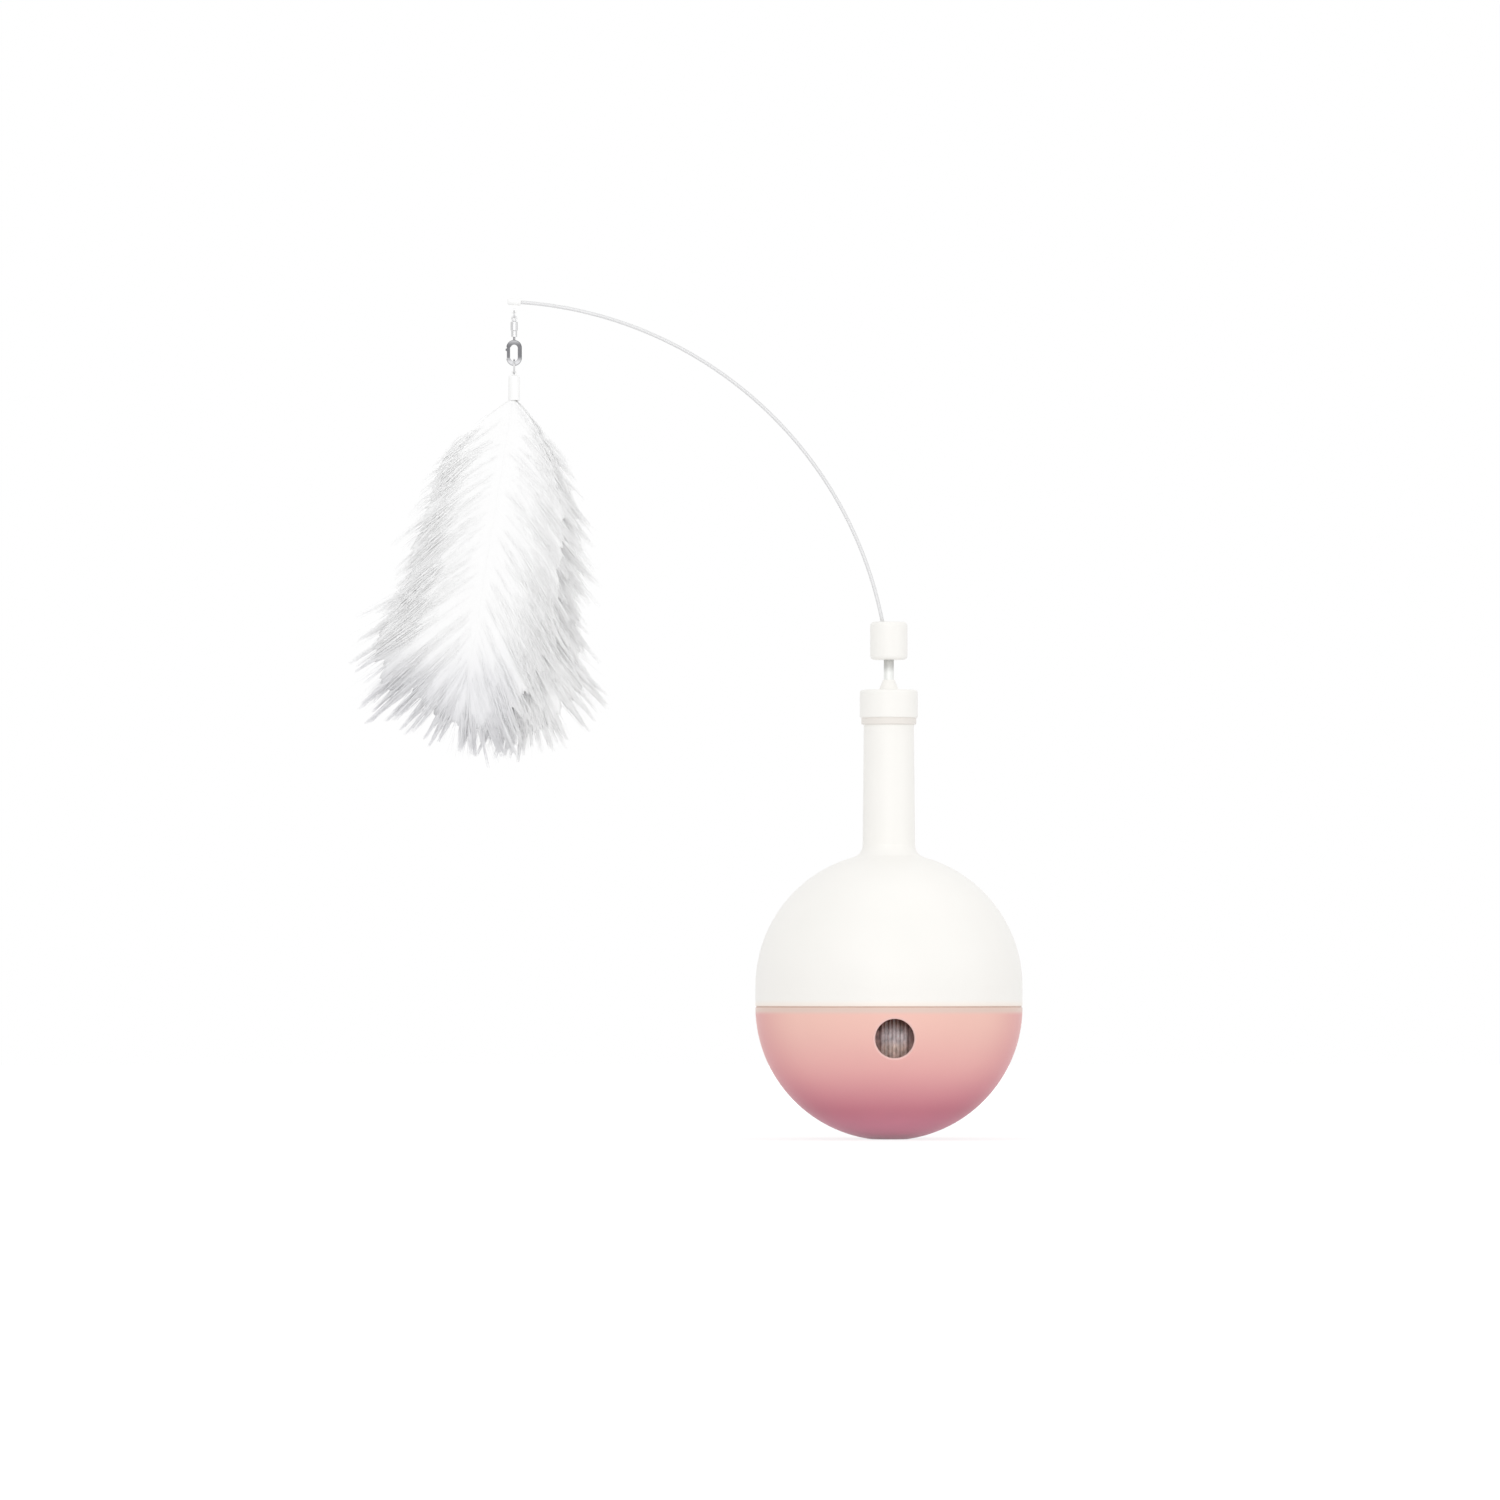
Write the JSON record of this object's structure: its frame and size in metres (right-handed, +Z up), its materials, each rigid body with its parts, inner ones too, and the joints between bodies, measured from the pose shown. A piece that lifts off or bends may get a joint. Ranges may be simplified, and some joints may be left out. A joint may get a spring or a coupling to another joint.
{
  "type": "cat treat dispenser toy",
  "caption": "Weighted tumbler ball that drops treats from a round outlet, with a spring wire wand and a feather on a swivel snap.",
  "frame": {"origin": "centre of the flat under the bowl", "axes": "+Z up the ball's axis and the neck; the treat outlet faces -Y; the wand arches over to -X"},
  "size_m": [0.1982, 0.08, 0.2521],
  "materials": {
    "pink_plastic": "satin gloss, moulded pink",
    "white_plastic": "warm white, satin gloss",
    "floor_plastic": "matt pink-tan",
    "smoky_plastic": "translucent smoky grey",
    "grey_iron": "plain cast iron",
    "screw_steel": "zinc plated",
    "seal_rubber": "soft off-white silicone",
    "bush_brass": "turned brass",
    "pin_steel": "polished steel",
    "wire_steel": "drawn spring steel",
    "swivel_metal": "nickel plate",
    "clasp_metal": "dark nickel plate",
    "quill_keratin": "pale translucent shaft",
    "plume_down": "white down, cool grey at the tips"
  },
  "bodies": {
    "bowl": {"lower_bowl": "pink_plastic", "weight_slug": "grey_iron", "chamber_floor": "floor_plastic", "floor_screws": "screw_steel", "treat_baffle": "smoky_plastic"},
    "seal": {"seal_ring": "seal_rubber"},
    "shell": {"upper_shell": "white_plastic"},
    "cap": {"neck_cap": "white_plastic", "pivot_bush": "bush_brass"},
    "spindle": {"pivot_pin": "pin_steel", "thrust_washer": "pin_steel", "retaining_clip": "pin_steel", "wire_holder": "white_plastic", "wand_wire": "wire_steel"},
    "wand_tip": {"end_sleeve": "white_plastic"},
    "link": {"link_ring": "swivel_metal"},
    "swivel": {"swivel_eye": "swivel_metal", "swivel_barrel": "swivel_metal"},
    "snap": {"clasp_frame": "clasp_metal", "gate_pin": "clasp_metal"},
    "gate": {"clasp_gate": "clasp_metal"},
    "feather": {"feather_ring": "swivel_metal", "feather_ferrule": "white_plastic", "front_quill": "quill_keratin", "front_plume": "plume_down", "back_quill": "quill_keratin", "back_plume": "plume_down"}
  },
  "joints": [
    {"name": "shell_lift", "type": "slide", "parent": "bowl", "child": "seal", "axis": [0, 0, 1], "range_m": [0, 0.06]},
    {"name": "shell_turn", "type": "hinge", "parent": "seal", "child": "shell", "pos_m": [0, 0, 0.03802], "axis": [0, 0, 1], "continuous": true},
    {"name": "cap_lift", "type": "slide", "parent": "shell", "child": "cap", "axis": [0, 0, 1], "range_m": [0, 0.014]},
    {"name": "wand_spin", "type": "hinge", "parent": "cap", "child": "spindle", "pos_m": [0, 0, 0.13752], "axis": [0, 0, 1], "continuous": true},
    {"name": "wand_flex", "type": "hinge", "parent": "spindle", "child": "wand_tip", "pos_m": [-0.02945, 0, 0.20297], "axis": [0, 1, 0], "range_deg": [-20, 20], "stiffness_Nm_per_rad": 0.12, "deforming": ["wand_wire"]},
    {"name": "link_swing", "type": "hinge", "parent": "wand_tip", "child": "link", "pos_m": [-0.11233, 0, 0.24844], "axis": [0, 1, 0], "range_deg": [-15, 60]},
    {"name": "swivel_swing", "type": "hinge", "parent": "link", "child": "swivel", "pos_m": [-0.11233, 0, 0.24717], "axis": [1, 0, 0], "range_deg": [-45, 45]},
    {"name": "swivel_twist", "type": "hinge", "parent": "swivel", "child": "snap", "pos_m": [-0.11233, 0, 0.24039], "axis": [0, 0, 1], "continuous": true},
    {"name": "gate_open", "type": "hinge", "parent": "snap", "child": "gate", "pos_m": [-0.11403, 0, 0.23779], "axis": [0, -1, 0], "range_deg": [0, 25], "stiffness_Nm_per_rad": 0.0001},
    {"name": "feather_swing", "type": "hinge", "parent": "snap", "child": "feather", "pos_m": [-0.11233, 0, 0.23239], "axis": [1, 0, 0], "range_deg": [-20, 20]}
  ]
}
